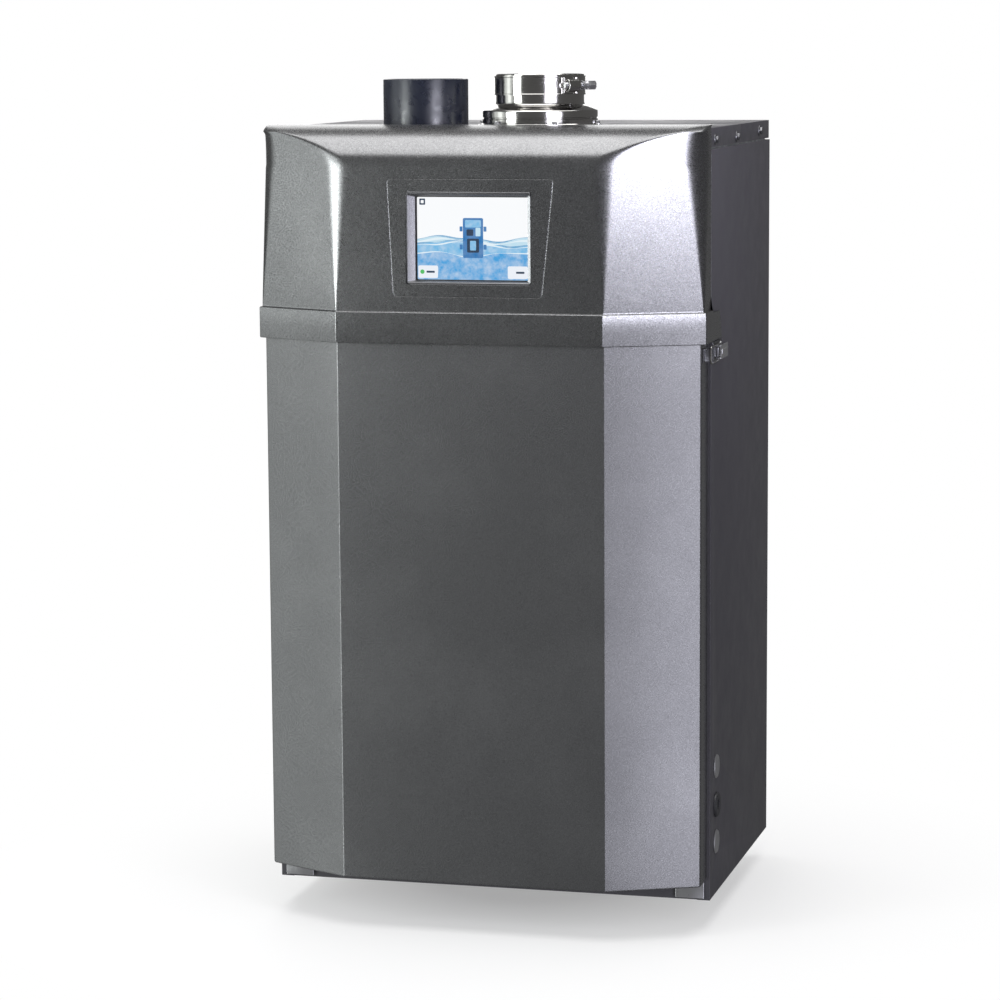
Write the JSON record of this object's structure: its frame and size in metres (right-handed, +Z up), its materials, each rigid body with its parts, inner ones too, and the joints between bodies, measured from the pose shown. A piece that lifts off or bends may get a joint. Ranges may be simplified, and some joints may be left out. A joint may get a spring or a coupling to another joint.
{
  "type": "gas pool heater",
  "caption": "Wall-hung gas pool heater: faceted sheet-metal cabinet, tip-out front door with a touch-screen hood, intake and exhaust collars on top, pipe stubs below.",
  "frame": {"origin": "centre of the cabinet base pan's flat underside: midway across the width, and midway between the front edge of the side panels and the wall plane", "axes": "+Z up, +Y into the wall, the display faces -Y"},
  "size_m": [0.4741, 0.4123, 0.8753],
  "materials": {
    "cabinet_paint": "charcoal powder coat, fine orange peel, satin",
    "cover_paint": "metallic grey powder coat, satin",
    "hood_plastic": "graphite-silver metallic moulding, fine grain",
    "bezel_plastic": "silver-grey metallic moulding",
    "display_glass": "touch panel showing a lit screen",
    "circuit_board": "green solder mask",
    "pvc_black": "black pipe plastic, semi-gloss",
    "stainless": "bright stainless, spun and polished outside",
    "zinc_steel": "bright zinc plate",
    "galvanised": "galvanised, spangled",
    "rubber": "matt black rubber",
    "cast_aluminium": "as cast",
    "brass": "machined brass",
    "copper": "copper tube, lightly tarnished",
    "black_plastic": "black moulding",
    "grey_plastic": "grey polypropylene",
    "ceramic": "white glazed ceramic",
    "relief_red": "red dipped handle",
    "gas_paint": "yellow gas pipe coating"
  },
  "bodies": {
    "cabinet": {"back_panel": "galvanised", "base_pan": "cabinet_paint", "left_side_panel": "cabinet_paint", "right_side_panel": "cabinet_paint", "upper_frame": "galvanised", "top_front_plate": "cabinet_paint", "top_rear_plate": "cabinet_paint", "hanging_rail": "galvanised", "wall_bracket": "galvanised", "door_rest_left": "zinc_steel", "door_rest_right": "zinc_steel", "door_gasket": "rubber", "top_screw_front": "zinc_steel", "top_screw_middle": "zinc_steel", "top_screw_rear": "zinc_steel", "knockout_plug_upper": "zinc_steel", "knockout_plug_lower": "zinc_steel", "cord_bush": "black_plastic", "latch_base": "cabinet_paint", "intake_collar": "pvc_black", "exhaust_adapter": "stainless", "exhaust_seal": "rubber", "clamp_band": "stainless", "heat_exchanger": "stainless", "fire_tube_bundle": "stainless", "burner_cylinder": "stainless", "burner_door": "cast_aluminium", "igniter": "ceramic", "blower_housing": "cast_aluminium", "blower_motor": "black_plastic", "venturi": "cast_aluminium", "gas_valve": "cast_aluminium", "gas_pipe": "gas_paint", "intake_hose": "black_plastic", "flue_sump": "grey_plastic", "flue_riser": "grey_plastic", "condensate_trap": "grey_plastic", "supply_pipe": "copper", "return_pipe": "copper", "relief_valve": "brass", "flow_switch": "black_plastic", "control_box": "galvanised", "control_board": "circuit_board", "transformer": "black_plastic"},
    "front_door": {"front_cover": "cover_paint", "hood_shell": "hood_plastic", "display_bezel": "bezel_plastic", "display_lens": "display_glass", "display_board": "circuit_board", "display_bracket": "galvanised", "latch_keeper": "zinc_steel"},
    "latch_arm": {"latch_lever": "zinc_steel"},
    "latch_hook": {"latch_bail": "stainless"},
    "clamp_worm": {"clamp_screw": "zinc_steel"},
    "fan_wheel": {"blower_impeller": "cast_aluminium"},
    "relief_handle": {"relief_lever": "relief_red"}
  },
  "joints": [
    {"name": "door_tip", "type": "hinge", "parent": "cabinet", "child": "front_door", "pos_m": [0, -0.178, 0.022], "axis": [1, 0, 0], "range_deg": [0, 20]},
    {"name": "latch_turn", "type": "hinge", "parent": "cabinet", "child": "latch_arm", "pos_m": [0.2362, -0.153, 0.5665], "axis": [0, 0, -1], "range_deg": [0, 150]},
    {"name": "bail_swing", "type": "hinge", "parent": "latch_arm", "child": "latch_hook", "pos_m": [0.2371, -0.144, 0.5665], "axis": [0, 0, -1], "range_deg": [-150, 0]},
    {"name": "clamp_screw_turn", "type": "hinge", "parent": "cabinet", "child": "clamp_worm", "pos_m": [0.07604, -0.10937, 0.8338], "axis": [0.5736, 0.8192, 0], "continuous": true},
    {"name": "fan_spin", "type": "hinge", "parent": "cabinet", "child": "fan_wheel", "pos_m": [-0.12, 0.04, 0.61], "axis": [0, 0, 1], "continuous": true},
    {"name": "relief_lift", "type": "hinge", "parent": "cabinet", "child": "relief_handle", "pos_m": [-0.185, 0.028, 0.446], "axis": [-1, 0, 0], "range_deg": [0, 70]}
  ],
  "couplings": [
    {"joint": "bail_swing", "follows": "latch_turn", "ratio": -1}
  ]
}
